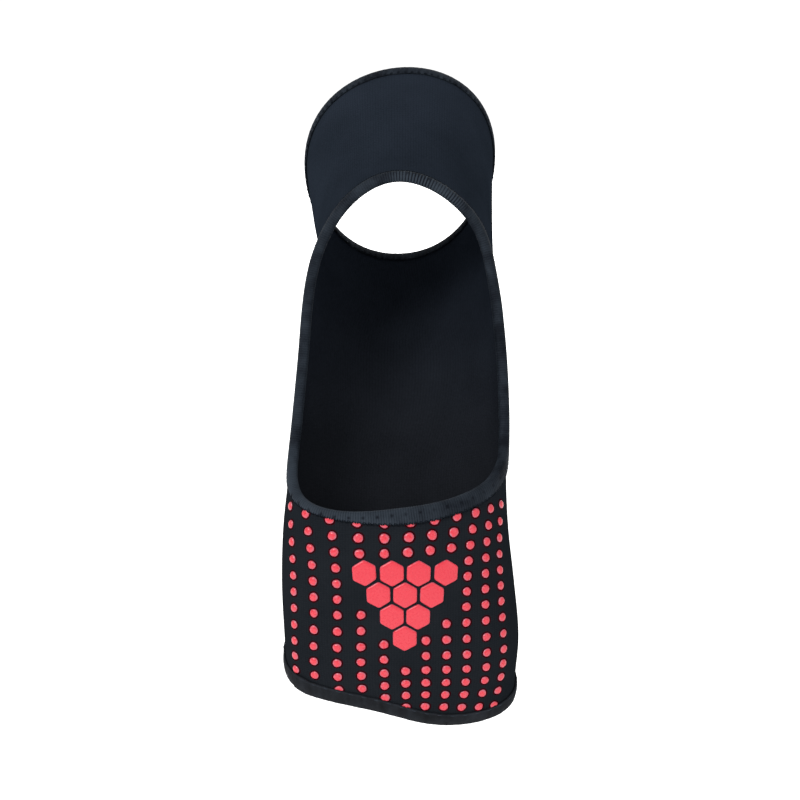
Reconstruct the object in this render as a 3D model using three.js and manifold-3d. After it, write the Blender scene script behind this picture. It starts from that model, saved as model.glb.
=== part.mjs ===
// Ankle support of neoprene for a left foot, in the shape it has when worn with the toes pointing down.
// Millimetres. +Z is up, from the toes to the heel. -Y is the sole's side. +X is the big toe's side.
// The origin is the middle of the ankle, where a foot holds the support.
import * as THREE from 'three';
import Module from 'manifold-3d';

// Thicknesses and widths
const WALL = 2.5;
const TAPE = 0.6;
const GAP = 0.35;
const HEEL_GAP = 0.55;
const TOP_TAPE_WIDTH = 3.8;
const TOE_TAPE_WIDTH = 5.9;
const TOE_TAPE_TAPER = 0.7;

// Where the sleeve ends, counted in sections along the foot and leg, how far each end slants sideways, and
// how far the rim rises at both sides
const TOE_AT = 0.845;
const TOE_SLANT = -0.38;
const RIM_AT = 11.97;
const RIM_SLANT = 0.12;
const RIM_RISE = 0.17;
const TOE_SLANT_REACH = 3;
const RIM_SLANT_REACH = 1.6;

// Fineness of the faces
const COLUMNS = 38;
const SIDE_CROWDING = 1.35;
const HEEL_STEPS = 60;

// Plug that cuts the heel opening
const PLUG_MARGIN = 3;
const PLUG_OUTSIDE = new THREE.Vector3(0, -600, 150);
const PLUG_INSIDE = new THREE.Vector3(0, -20, 0);

// Raised grip on the sole
const DOT_RADIUS = 2;
const DOT_HEIGHT = 0.6;
const DOT_SIDES = 6;
const DOT_ROWS = 14;
const DOT_MIDDLE_ROW = 6;
const DOT_SIDE_ANGLE = 70;
const PAD_AT = 3.005;
const PAD_ANGLE = 4.4;
const PAD_PITCH = 11.4;
const PAD_RADIUS = 6.05;
const PAD_HEIGHT = 0.8;
const SINK = 0.7;

/** Turns rows of values into objects with the named columns. */
function table(columns, rows) {
  const names = columns.split(' ');
  return rows.map((row) => Object.fromEntries(names.map((name, i) => [name, row[i]])));
}

// Sections of the outer face from the toes to above the rim. Each lies in the plane through its point on
// the instep or shin (top) and its point on the sole, heel or tendon (sole). lateral and medial are half
// widths, waist is where between sole and top it is widest, the last three are how square its corners are.
const SIDE_COLUMNS = 'lateral medial waist squareLateral squareMedial squareTop';
const SECTIONS = table(`name topY topZ soleY soleZ ${SIDE_COLUMNS}`, [
  ['beyond toe edge', -40, -152, -68, -180, 49.5, 51.2, 0.5, 2.5, 2.3, 2.2],
  ['toe edge', -32, -138, -75, -160, 51.0, 52.2, 0.5, 2.7, 2.4, 2.2],
  ['ball', -24, -122, -79, -138, 52.0, 53.4, 0.47, 2.9, 2.5, 2.2],
  ['forefoot', -16, -103, -79, -110, 53.0, 51.2, 0.45, 2.9, 2.4, 2.1],
  ['arch', -7, -84, -77, -83, 52.4, 48.6, 0.46, 2.8, 2.2, 2.1],
  ['instep', 3, -67, -74, -56, 50.0, 47.8, 0.5, 2.7, 2.1, 2.1],
  ['heel front', 14, -51, -76, -22, 47.4, 48.2, 0.53, 2.4, 2.2, 2.1],
  ['heel', 25, -37, -78, 17, 45.0, 47.2, 0.57, 2.3, 2.2, 2.1],
  ['heel back', 36, -27, -64, 47, 43.4, 45.4, 0.58, 2.2, 2.2, 2.1],
  ['below ankle', 47, -18, -30, 57, 41.6, 43.6, 0.57, 2.1, 2.1, 2.1],
  ['ankle', 60, -9, 6, 67, 38.0, 43.4, 0.54, 2.0, 2.0, 2.1],
  ['cuff', 75, 0, 36, 81, 41.2, 43.6, 0.5, 2.0, 2.0, 2.1],
  ['rim', 92, 10, 74, 106, 45.0, 44.6, 0.5, 2.0, 2.0, 2.1],
  ['beyond rim', 108, 20, 112, 128, 47.5, 46.2, 0.5, 2.0, 2.0, 2.1],
]);

// Edge of the heel opening: section number, angle round the section from the sole to the big toe's side, and
// how far the tape reaches over the sleeve
const HEEL_OPENING = table('name section angle tape', [
  ['tendon', 9.98, 0, 2.6],
  ['medial shoulder', 9.69, 35, 2.8],
  ['upper medial', 9.29, 57, 3.2],
  ['medial', 8.3, 78, 4],
  ['middle medial', 6.8, 87, 5],
  ['lower medial', 5.63, 86, 5],
  ['medial corner', 5.05, 68, 5],
  ['medial sole', 4.74, 40, 5.2],
  ['middle of sole', 4.58, 2, 5.4],
  ['lateral corner', 4.52, -42, 2],
  ['lower lateral', 4.8, -67.5, 2.2],
  ['middle lateral', 5.5, -85, 3.6],
  ['lateral', 6.9, -85, 4.4],
  ['upper lateral', 8.2, -77, 4],
  ['above lateral', 9.25, -57, 3.2],
  ['lateral shoulder', 9.72, -34, 2.8],
]);

// Columns of dots: angle round the section at the middle row, and the rows left out for the honeycomb
const DOT_COLUMNS = table('name angle skipFrom skipTo', [
  ['lateral edge', -68.5, 0, -1],
  ['second', -57.9, 0, -1],
  ['third', -46, 0, -1],
  ['fourth', -31.6, 3, 5],
  ['fifth', -13.9, 3, 7],
  ['sixth', 5, 3, 9],
  ['seventh', 22.3, 3, 7],
  ['eighth', 37.2, 3, 6],
  ['ninth', 49.4, 0, -1],
  ['tenth', 60.1, 0, -1],
  ['medial edge', 69.6, 0, -1],
]);

// Rows of the honeycomb: how many pads, and how many rows above its middle
const PAD_ROWS = table('name pads up', [
  ['top', 4, 1.5],
  ['upper', 3, 0.5],
  ['lower', 2, -0.5],
  ['tip', 1, -1.5],
]);

// Rows of faces from the toe edge to the rim, closest where the tendon runs into the heel
const ROW_RUNS = table('name from to rows', [
  ['band', TOE_AT, 4.3, 7],
  ['sides', 4.3, 8.9, 9],
  ['tendon', 8.9, 10.5, 8],
  ['cuff', 10.5, RIM_AT, 4],
]);

const { cos, sin, abs, floor, PI } = Math;
const radians = THREE.MathUtils.degToRad;
const clamp = THREE.MathUtils.clamp;
const lerp = THREE.MathUtils.lerp;

/** Smooth curve through four even values a, b, c, d, from b at t = 0 to c at t = 1. */
function smooth(a, b, c, d, t) {
  return b + 0.5 * t * (c - a + t * (2 * a - 5 * b + 4 * c - d + t * (3 * (b - c) + d - a)));
}

/** A section's value at any place between sections, run on straight past both ends. */
function along(column, at) {
  const last = SECTIONS.length - 1;
  const i = clamp(floor(at), 0, last - 1);
  const value = (k) => {
    if (k < 0) return 2 * SECTIONS[0][column] - SECTIONS[1][column];
    if (k > last) return 2 * SECTIONS[last][column] - SECTIONS[last - 1][column];
    return SECTIONS[k][column];
  };
  return smooth(value(i - 1), value(i), value(i + 1), value(i + 2), at - i);
}

/** Point of the outer face: the section's rounded rectangle in polar form, in its own slanted plane. */
function face(at, angle) {
  const sole = new THREE.Vector2(along('soleY', at), along('soleZ', at));
  const top = new THREE.Vector2(along('topY', at), along('topZ', at));
  const waist = along('waist', at);
  const down = sole.clone().sub(top);
  const height = down.length();
  const middle = sole.clone().lerp(top, waist);
  down.normalize();
  const below = cos(angle) > 0;
  const medial = sin(angle) > 0;
  const half = below ? waist * height : (1 - waist) * height;
  const width = along(medial ? 'medial' : 'lateral', at);
  const square = along(below ? (medial ? 'squareMedial' : 'squareLateral') : 'squareTop', at);
  const radius = (abs(cos(angle) / half) ** square + abs(sin(angle) / width) ** square) ** (-1 / square);
  const drop = radius * cos(angle);
  return new THREE.Vector3(radius * sin(angle), middle.x + down.x * drop, middle.y + down.y * drop);
}

/** How the outer face runs at a point: along the foot, round it, and straight out of it. */
function directions(at, angle) {
  const step = 1e-3;
  const lengthwise = face(at + step, angle).sub(face(at - step, angle)).divideScalar(2 * step);
  const round = face(at, angle + step).sub(face(at, angle - step)).divideScalar(2 * step);
  const out = round.clone().cross(lengthwise).normalize();
  return { lengthwise, round, out };
}

/** Point at a height over the outer face. */
function layer(at, angle, height) {
  return face(at, angle).addScaledVector(directions(at, angle).out, height);
}

/** Place on the face reached from another place by a step lying flat on the face. */
function walk(place, step) {
  const { lengthwise, round } = directions(place.at, place.angle);
  const a = lengthwise.dot(lengthwise);
  const b = lengthwise.dot(round);
  const c = round.dot(round);
  const u = step.dot(lengthwise);
  const v = step.dot(round);
  const scale = 1 / (a * c - b * b);
  return { at: place.at + (u * c - v * b) * scale, angle: place.angle + (v * a - u * b) * scale };
}

/** Smooth closed curve through the table of the heel opening, as evenly spaced places on the face. */
function openingPlaces() {
  const count = HEEL_OPENING.length;
  const row = (i) => HEEL_OPENING[(i + count) % count];
  const fine = [];
  for (let i = 0; i < count; i += 1) {
    for (let j = 0; j < 30; j += 1) {
      const near = [row(i - 1), row(i), row(i + 1), row(i + 2)];
      const value = (key) => smooth(near[0][key], near[1][key], near[2][key], near[3][key], j / 30);
      fine.push({ at: value('section'), angle: radians(value('angle')), tape: value('tape') });
    }
  }
  fine.push(fine[0]);
  const run = [0];
  const points = fine.map((place) => face(place.at, place.angle));
  for (let i = 1; i < fine.length; i += 1) run.push(run[i - 1] + points[i].distanceTo(points[i - 1]));
  const places = [];
  for (let k = 0; k < HEEL_STEPS; k += 1) {
    const wanted = (run[run.length - 1] * k) / HEEL_STEPS;
    const i = clamp(run.findIndex((length) => length > wanted), 1, run.length - 1);
    const share = (wanted - run[i - 1]) / (run[i] - run[i - 1]);
    const [from, to] = [fine[i - 1], fine[i]];
    const between = (key) => lerp(from[key], to[key], share);
    places.push({ at: between('at'), angle: between('angle'), tape: between('tape') });
  }
  return places;
}

/** Rows of places round the sleeve from the toe edge to the rim, the heel still closed. */
function sleeveRows() {
  const steps = ROW_RUNS.flatMap((run) => (
    Array.from({ length: run.rows }, (_, i) => lerp(run.from, run.to, i / run.rows))
  ));
  const rows = [];
  for (const at of [...steps, RIM_AT]) {
    const nearToe = clamp(1 - (at - TOE_AT) / TOE_SLANT_REACH, 0, 1);
    const nearRim = clamp(1 - (RIM_AT - at) / RIM_SLANT_REACH, 0, 1);
    const row = [];
    for (let j = 0; j < COLUMNS; j += 1) {
      const turn = (2 * PI * j) / COLUMNS;
      const angle = Math.atan2(SIDE_CROWDING * sin(turn), cos(turn));
      const side = sin(angle);
      const shift = side * (nearToe * TOE_SLANT + nearRim * (RIM_SLANT + RIM_RISE * side));
      row.push({ at: at + shift, angle });
    }
    rows.push(row);
  }
  return rows;
}

/** Closed mesh from points and triangles, its faces turned outward. */
function solid(points, triangles) {
  const [a, b, c] = [new THREE.Vector3(), new THREE.Vector3(), new THREE.Vector3()];
  const volume = triangles.reduce((sum, [i, j, k]) => {
    a.copy(points[i]);
    b.copy(points[j]);
    c.copy(points[k]);
    return sum + a.dot(b.cross(c));
  }, 0);
  const turned = volume < 0 ? triangles.map(([i, j, k]) => [i, k, j]) : triangles;
  const geometry = new THREE.BufferGeometry().setFromPoints(points);
  geometry.setIndex(turned.flat());
  return geometry;
}

/** Wall of the sleeve with the heel still closed: outer face, inner face and the two end edges. */
function sleeveWall(rows) {
  const points = [];
  const triangles = [];
  const quad = (a, b, c, d) => triangles.push([a, b, c], [a, c, d]);
  const sheet = (height) => rows.map((row) => {
    const indices = row.map((place) => points.push(layer(place.at, place.angle, height)) - 1);
    return [...indices, indices[0]];
  });
  const outer = sheet(0);
  const inner = sheet(-WALL);
  const last = rows.length - 1;
  for (let j = 0; j < COLUMNS; j += 1) {
    for (let i = 0; i < last; i += 1) {
      quad(outer[i][j], outer[i][j + 1], outer[i + 1][j + 1], outer[i + 1][j]);
      quad(inner[i][j + 1], inner[i][j], inner[i + 1][j], inner[i + 1][j + 1]);
    }
    quad(outer[0][j + 1], outer[0][j], inner[0][j], inner[0][j + 1]);
    quad(outer[last][j], outer[last][j + 1], inner[last][j + 1], inner[last][j]);
  }
  return solid(points, triangles);
}

/** Plug to cut out of the heel: the opening's edge through the wall, closed to a point on each side. */
function heelPlug(places) {
  const count = places.length;
  const edge = (height) => places.map((place) => layer(place.at, place.angle, height));
  const points = [...edge(PLUG_MARGIN), ...edge(-WALL - PLUG_MARGIN), PLUG_OUTSIDE, PLUG_INSIDE];
  const triangles = [];
  for (let i = 0; i < count; i += 1) {
    const next = (i + 1) % count;
    triangles.push([i, count + i, count + next], [i, count + next, next]);
    triangles.push([2 * count, i, next], [2 * count + 1, count + next, count + i]);
  }
  return solid(points, triangles);
}

/** Unit step from an end edge into the sleeve, along the foot, or from the heel's edge, square to it. */
function intoSleeve(places, k, edge) {
  const { lengthwise, out } = directions(places[k].at, places[k].angle);
  if (edge === 'toe') return lengthwise.normalize();
  if (edge === 'rim') return lengthwise.normalize().negate();
  const before = places[(k + places.length - 1) % places.length];
  const after = places[(k + 1) % places.length];
  const tangent = face(after.at, after.angle).sub(face(before.at, before.angle));
  return out.cross(tangent).normalize();
}

/** Section of an edge tape: a U folded round the wall, a small gap clear of it, its legs bent if asked. */
function tapeSection(width, gap, bent) {
  const far = gap + TAPE;
  const under = -WALL - gap;
  const middle = width / 2;
  return table('name into height', [
    ['outer end', width, gap],
    ['outer end', width, far],
    ['bend', middle, far],
    ['fold', -gap / 2, far],
    ['fold', -far, gap - 0.1],
    ['fold', -far, under + 0.1],
    ['fold', -gap / 2, under - TAPE],
    ['bend', middle, under - TAPE],
    ['inner end', width, under - TAPE],
    ['inner end', width, under],
    ['bend', middle, under],
    ['inside of fold', -gap, under],
    ['inside of fold', -gap, gap],
    ['bend', middle, gap],
  ]).filter(({ name }) => bent || name !== 'bend');
}

/** Edge tape: its section carried round an edge, reaching over the sleeve as far as each place says. */
function binding({ edge, places, gap }) {
  const sections = places.map(({ tape }) => tapeSection(tape, gap, edge === 'heel'));
  const corners = sections[0].length;
  const points = [];
  const triangles = [];
  places.forEach((place, k) => {
    const into = intoSleeve(places, k, edge);
    const here = k * corners;
    const ahead = ((k + 1) % places.length) * corners;
    sections[k].forEach((corner, p) => {
      const spot = walk(place, into.clone().multiplyScalar(corner.into));
      points.push(layer(spot.at, spot.angle, corner.height));
      const next = (p + 1) % corners;
      triangles.push([here + p, ahead + p, ahead + next], [here + p, ahead + next, here + next]);
    });
  });
  return solid(points, triangles);
}

/** Raised pad on the sole: a many-sided prism that follows the face, its foot sunk into the wall. */
function raisedPad(place, radius, sides, height, turn) {
  const { lengthwise, out } = directions(place.at, place.angle);
  const up = lengthwise.clone().normalize();
  const across = up.clone().cross(out).normalize();
  const spots = [];
  for (let i = 0; i < sides; i += 1) {
    const angle = turn + (2 * PI * i) / sides;
    const step = across.clone().multiplyScalar(cos(angle)).addScaledVector(up, sin(angle));
    spots.push(walk(place, step.multiplyScalar(radius)));
  }
  const points = [height, -SINK].flatMap((lift) => spots.map((spot) => layer(spot.at, spot.angle, lift)));
  const triangles = [];
  for (let i = 0; i < sides; i += 1) {
    const next = (i + 1) % sides;
    if (i > 0 && next > 0) triangles.push([0, i, next], [sides, sides + next, sides + i]);
    triangles.push([i, sides + i, sides + next], [i, sides + next, next]);
  }
  return solid(points, triangles);
}

/** Place of a dot: rows and columns that are straight on flat cloth, bowed as the foot stretches them. */
function dotPlace(column, row) {
  const e = column.angle / DOT_SIDE_ANGLE;
  const p = (row - DOT_MIDDLE_ROW) / DOT_MIDDLE_ROW;
  const swing = p * (-1 + e * (5.1 - 3.8 * e * e) + p * (1.6 + e * (2.2 - 1.9 * e) - 1.9 * p * e));
  const spread = 0.04 + 0.027 * e * e + p * (0.05 + 0.061 * e * e);
  const fall = p * (-1.478 + e * (0.046 - 0.158 * e) - p * spread);
  const bow = e * (0.122 - e * (0.061 + 0.081 * e));
  return { at: 2.912 + bow + fall, angle: radians(column.angle + swing) };
}

/** Places of the grip dots that lie clear of the tapes and of the honeycomb. */
function dotPlaces(edges) {
  const tapes = edges.map(({ places }) => (
    places.map(({ at, angle, tape }) => ({ point: face(at, angle), tape }))
  ));
  const found = [];
  for (const column of DOT_COLUMNS) {
    for (let row = 0; row < DOT_ROWS; row += 1) {
      const place = dotPlace(column, row);
      const point = face(place.at, place.angle);
      const skipped = row >= column.skipFrom && row <= column.skipTo;
      const clear = tapes.every((tape) => distanceToTape(point, tape) > DOT_RADIUS + 0.5);
      const below = place.at < TOE_AT + TOE_SLANT * sin(place.angle);
      if (clear && !below && !skipped) found.push(place);
    }
  }
  return found;
}

/** Distance from a point on the sleeve to the free edge of a tape, from the tape's fold and reach. */
function distanceToTape(point, tape) {
  const line = new THREE.Line3();
  const nearest = new THREE.Vector3();
  return tape.reduce((least, start, i) => {
    line.set(start.point, tape[(i + 1) % tape.length].point);
    line.closestPointToPoint(point, true, nearest);
    return Math.min(least, nearest.distanceTo(point) - start.tape);
  }, Infinity);
}

/** Places of the honeycomb pads: rows of touching cells, each row one shorter than the row above. */
function honeycombPlaces() {
  const middle = { at: PAD_AT, angle: radians(PAD_ANGLE) };
  const { lengthwise, out } = directions(middle.at, middle.angle);
  const up = lengthwise.clone().normalize();
  const across = up.clone().cross(out).normalize();
  const places = [];
  for (const row of PAD_ROWS) {
    for (let i = 0; i < row.pads; i += 1) {
      const step = across.clone().multiplyScalar(PAD_PITCH * (i - (row.pads - 1) / 2));
      places.push(walk(middle, step.addScaledVector(up, PAD_PITCH * cos(PI / 6) * row.up)));
    }
  }
  return places;
}

const wasm = await Module();
wasm.setup();

/** Body of closed meshes that do not touch each other, ready for joining and cutting. */
function body(geometries) {
  const vertices = [];
  const triangles = [];
  for (const geometry of geometries) {
    const start = vertices.length / 3;
    vertices.push(...geometry.getAttribute('position').array);
    triangles.push(...Array.from(geometry.getIndex().array, (i) => i + start));
  }
  return new wasm.Manifold(new wasm.Mesh({
    numProp: 3,
    vertProperties: new Float32Array(vertices),
    triVerts: new Uint32Array(triangles),
  }));
}

/** The wall with the heel cut open and the grip raised on its sole. */
function sleeve(wall, plug, grip) {
  const mesh = body([wall]).subtract(body([plug])).add(body(grip)).getMesh();
  const geometry = new THREE.BufferGeometry();
  geometry.setAttribute('position', new THREE.BufferAttribute(mesh.vertProperties, 3));
  geometry.setIndex(Array.from(mesh.triVerts));
  return geometry;
}

const rows = sleeveRows();
const taped = (places, width, taper) => (
  places.map(({ at, angle }) => ({ at, angle, tape: width - taper * sin(angle) }))
);
const toe = { edge: 'toe', places: taped(rows[0], TOE_TAPE_WIDTH, TOE_TAPE_TAPER), gap: GAP };
const rim = { edge: 'rim', places: taped(rows[rows.length - 1], TOP_TAPE_WIDTH, 0), gap: GAP };
const heel = { edge: 'heel', places: openingPlaces(), gap: HEEL_GAP };
const grip = [
  ...dotPlaces([toe, heel]).map((place) => raisedPad(place, DOT_RADIUS, DOT_SIDES, DOT_HEIGHT, 0)),
  ...honeycombPlaces().map((place) => raisedPad(place, PAD_RADIUS, 6, PAD_HEIGHT, PI / 6)),
];

const neoprene = new THREE.MeshStandardMaterial({ color: '#22262c', roughness: 0.85, metalness: 0 });
const ribbedTape = new THREE.MeshStandardMaterial({ color: '#31373e', roughness: 0.8, metalness: 0 });
const smoothTape = new THREE.MeshStandardMaterial({ color: '#2a2c32', roughness: 0.75, metalness: 0 });

/** Adds a named piece to the support. */
function piece(name, geometry, material) {
  geometry.computeVertexNormals();
  const mesh = new THREE.Mesh(geometry, material);
  mesh.name = name;
  support.add(mesh);
}

const support = new THREE.Group();
support.name = 'ankle_support';
piece('neoprene_sleeve', sleeve(sleeveWall(rows), heelPlug(heel.places), grip), neoprene);
piece('top_binding', binding(rim), ribbedTape);
piece('heel_binding', binding(heel), ribbedTape);
piece('toe_binding', binding(toe), smoothTape);

export default support;
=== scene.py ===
"""Looks of a neoprene ankle support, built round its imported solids. Metres, in the part's own frame.

Every surface is worked out in millimetres from the same sections and edges as the solids.
A place on the sleeve is a pair: the section number from the toe end to the cuff (at) and the angle round
the section from the sole toward the medial side (angle).
"""
from types import SimpleNamespace

import bpy
import numpy as np
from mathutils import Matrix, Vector


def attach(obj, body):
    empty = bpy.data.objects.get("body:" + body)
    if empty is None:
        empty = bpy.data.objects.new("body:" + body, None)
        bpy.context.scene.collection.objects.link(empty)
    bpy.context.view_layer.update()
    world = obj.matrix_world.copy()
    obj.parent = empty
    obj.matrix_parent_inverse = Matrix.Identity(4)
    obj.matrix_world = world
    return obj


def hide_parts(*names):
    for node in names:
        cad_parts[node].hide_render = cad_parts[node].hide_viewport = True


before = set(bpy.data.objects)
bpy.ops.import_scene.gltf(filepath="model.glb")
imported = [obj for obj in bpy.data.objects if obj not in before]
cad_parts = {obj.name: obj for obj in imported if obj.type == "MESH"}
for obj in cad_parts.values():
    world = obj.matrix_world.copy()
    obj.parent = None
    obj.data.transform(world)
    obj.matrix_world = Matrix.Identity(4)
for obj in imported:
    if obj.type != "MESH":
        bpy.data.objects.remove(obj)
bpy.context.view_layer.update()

MM = 0.001
TURN = 2 * np.pi

# Sections of the outer face from the toe end to above the rim. Columns: y and z of the instep or front
# point, y and z of the sole or back point, lateral and medial half width, place of the widest line between
# sole and instep, and squareness of the lateral, medial and upper corners.
SECTIONS = np.array([
    (-40, -152, -68, -180, 49.5, 51.2, 0.50, 2.5, 2.3, 2.2),
    (-32, -138, -75, -160, 51.0, 52.2, 0.50, 2.7, 2.4, 2.2),
    (-24, -122, -79, -138, 52.0, 53.4, 0.47, 2.9, 2.5, 2.2),
    (-16, -103, -79, -110, 53.0, 51.2, 0.45, 2.9, 2.4, 2.1),
    (-7, -84, -77, -83, 52.4, 48.6, 0.46, 2.8, 2.2, 2.1),
    (3, -67, -74, -56, 50.0, 47.8, 0.50, 2.7, 2.1, 2.1),
    (14, -51, -76, -22, 47.4, 48.2, 0.53, 2.4, 2.2, 2.1),
    (25, -37, -78, 17, 45.0, 47.2, 0.57, 2.3, 2.2, 2.1),
    (36, -27, -64, 47, 43.4, 45.4, 0.58, 2.2, 2.2, 2.1),
    (47, -18, -30, 57, 41.6, 43.6, 0.57, 2.1, 2.1, 2.1),
    (60, -9, 6, 67, 38.0, 43.4, 0.54, 2.0, 2.0, 2.1),
    (75, 0, 36, 81, 41.2, 43.6, 0.50, 2.0, 2.0, 2.1),
    (92, 10, 74, 106, 45.0, 44.6, 0.50, 2.0, 2.0, 2.1),
    (108, 20, 112, 128, 47.5, 46.2, 0.50, 2.0, 2.0, 2.1),
], float)
LAST_SECTION = len(SECTIONS) - 1

# Edge of the heel opening from its top down the medial side and round. Columns: section, angle in degrees,
# and how far the tape reaches over the sleeve.
HEEL_OPENING = np.array([
    (9.98, 0, 2.6), (9.69, 35, 2.8), (9.29, 57, 3.2), (8.3, 78, 4), (6.8, 87, 5), (5.63, 86, 5),
    (5.05, 68, 5), (4.74, 40, 5.2), (4.58, 2, 5.4), (4.52, -42, 2), (4.8, -67.5, 2.2), (5.5, -85, 3.6),
    (6.9, -85, 4.4), (8.2, -77, 4), (9.25, -57, 3.2), (9.72, -34, 2.8),
], float)

# Corners of the opening as places in its table
TOP_MEDIAL, LOW_MEDIAL, LOW_LATERAL, TOP_LATERAL = 1.6, 5.75, 9.75, 14.45

# The toe edge and the rim: section number at the sole or the back, slant sideways, and the rim's rise at
# both sides
TOE_AT, TOE_SLANT = 0.845, -0.38
RIM_AT, RIM_SLANT, RIM_RISE = 11.97, 0.12, 0.17

# The wall, how far the tapes reach over it, the gap under them and their thickness
WALL = 2.5
TOP_TAPE_WIDTH = 3.8
TOE_TAPE_WIDTH, TOE_TAPE_TAPER = 5.9, 0.7
TAPE_LIFT, TAPE_THICK = 0.25, 0.6
TAPE_TOP = TAPE_LIFT + TAPE_THICK

# Section of a tape: shares of the reach at its underside's points, and its inner face's share of the swell
UNDERSIDE = np.array([1.0, 0.6, 0.2, -0.02])
INNER_SWELL = 0.7

# The heel tape: pitch and height of its ribs and how much wider they lie at the top of the opening, and
# pitch, place, size and depth of its needle marks
RIB_PITCH, RIB_HEIGHT, RIB_SPREAD = 1.1, 0.16, 0.3
MARK_PITCH, MARK_PLACE, MARK_SIZE, MARK_DEPTH = 6.2, 1.0, 0.7, 0.35

# The toe tape: place of its join as a share of the edge, the step there, the lengths between which the lapped
# end sinks, and the width of the dark line, then its needle marks
TOE_JOIN, JOIN_STEP, JOIN_FROM, JOIN_TO, JOIN_LINE = 0.309, 0.35, 6, 16, 0.6
TOE_MARK_PITCH, TOE_MARK_PLACE, TOE_MARK_SIZE, TOE_MARK_DEPTH = 9.3, 1.2, 0.6, 0.2

# The top tape: pitch of its stitches, and place, size and depth of the dents that they pull into it
TOP_STITCH_PITCH = 3.2
DENT_PLACE, DENT_SIZE, DENT_DEPTH = TOP_TAPE_WIDTH - 0.6, 0.55, 0.22

# A stitch: its thickness along it as shares of the thread's, and how deep its ends sink
STITCH_TAPER = np.array([0.5, 0.9, 1, 1, 0.9, 0.5])
STITCH_SINK = 0.25

# Columns of grip dots from the lateral side. Columns: angle in degrees at the middle row, and the first and
# last row left out for the honeycomb.
DOT_COLUMNS = np.array([
    (-68.5, 0, -1), (-57.9, 0, -1), (-46, 0, -1), (-31.6, 3, 5), (-13.9, 3, 7), (5, 3, 9),
    (22.3, 3, 7), (37.2, 3, 6), (49.4, 0, -1), (60.1, 0, -1), (69.6, 0, -1),
], float)
DOT_ROWS, DOT_MIDDLE_ROW, DOT_SIDE_ANGLE = 14, 6, 70
DOT_RADIUS, DOT_HEIGHT = 1.86, 0.85

# How far under a tape a dot's middle may lie, the section where the dots end, and the seed of their shapes
DOT_UNDER, DOT_END, DOT_SEED = 1.6, 4.6, 7

# Rows of the honeycomb. Columns: pads in the row, and rows above its middle.
PAD_ROWS = ((4, 1.5), (3, 0.5), (2, -0.5), (1, -1.5))
PAD_AT, PAD_ANGLE = 3.005, np.radians(4.4)
PAD_PITCH, PAD_RADIUS, PAD_HEIGHT = 11.4, 6.05, 0.8

# Power that rounds a pad's corners, height of a dot or pad pressed flat under a tape, and depth of its foot
PAD_POWER = 18
PRESSED_HEIGHT = TAPE_LIFT - 0.1
FOOT_DEPTH = 0.3

# The jersey: width and height of a loop, loops in a girth, how far a loop leans, sizes of the clouds and the
# fuzz, relief, and the heights between which the dye turns bluer and between which the cloth is painted
# paler toward the top of the cuff, as painted light from above, and how much paler
WALE, COURSE, WALES_AROUND, LOOP_LEAN = 1.2, 0.9, 220, 1.1
GIRTH = WALES_AROUND * WALE
CLOUD, FUZZ, KNIT_RELIEF = 24, 0.9, 0.18
BLUER_FROM, BLUER_TO = -90, 50
TOP_LIT_FROM, TOP_LIT_TO, TOP_LIT_BY = 74, 100, 0.35

# Sizes and reliefs of the tapes' blotches and grain, the silicone's mottle and the thread's twist
BLOTCH, GRAIN_RELIEF = 7, 0.15
MOTTLE, MOTTLE_RELIEF = 1.1, 0.1
TWIST, TWIST_RELIEF = 0.5, 0.1

# Fineness of the sleeve: places for each row of the heel opening, rows and columns of the grid, and rows in a
# section and angles in a girth from which the cloth's place is read, one angle a degree
HEEL_FINE = 40
BAND_ROWS, SIDE_ROWS, CUFF_ROWS = 64, 104, 52
SOLE_COLUMNS, BACK_COLUMNS = 68, 116
CLOTH_ROWS, CLOTH_ANGLES = 10, 360

# Fineness of the rest: places and stations along the edges, points over a tape's outer face and round its
# fold, parts in which an edge is searched, and corners round a dot, a pad and a thread
EDGE_PLACES, HEEL_STATIONS, TOE_STATIONS, RIM_STATIONS = 720, 2450, 800, 800
FACE_POINTS, FOLD_POINTS = 15, 9
EDGE_PARTS = 24
DOT_CORNERS, PAD_CORNERS, THREAD_CORNERS = 14, 72, 6

# Camera: where it looks, how high and how far away it stands, in metres, and its lens and sensor, in
# millimetres
TARGET = np.array([0, -60, -21.18]) * MM
ELEVATION, DISTANCE = np.radians(15), 1.2
LENS, SENSOR = 123.3, 36

# Floor, in metres, and brightness of the white surroundings as a light and as the background
FLOOR_HALF, FLOOR_Z = 30, -0.3
SKY_LIGHT, SKY_SHOWN = 0.8, 1.0

# Square area lights aimed at the object's middle, in metres. Columns: name, place, side and watts.
SOFTBOXES = (
    ("key_light", (-1.25, -1.4, 1.35), 0.8, 30),
    ("fill_light", (1.2, -1.4, 0.5), 1.2, 4),
    ("back_light", (0.15, 1.9, 0.7), 1.0, 28),
)
LIGHT_TARGET = (0, -0.02, -0.02)


def unit(vectors):
    """Vectors scaled to length one."""
    return vectors / np.linalg.norm(vectors, axis=-1, keepdims=True)


def smooth(value, low, high):
    """Rises from 0 at low to 1 at high, level at both ends."""
    share = np.clip((value - low) / (high - low), 0, 1)
    return share * share * (3 - 2 * share)


def cubic(a, b, c, d, t):
    """Smooth curve through four even values, from b at t = 0 to c at t = 1."""
    return b + 0.5 * t * (c - a + t * (2 * a - 5 * b + 4 * c - d + t * (3 * (b - c) + d - a)))


def section(at):
    """The table's columns at any place between sections, run on straight past both ends."""
    rows = np.vstack([2 * SECTIONS[0] - SECTIONS[1], SECTIONS, 2 * SECTIONS[-1] - SECTIONS[-2]])
    i = np.clip(np.floor(at).astype(int), 0, LAST_SECTION - 1)
    return cubic(rows[i], rows[i + 1], rows[i + 2], rows[i + 3], (at - i)[..., None])


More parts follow.
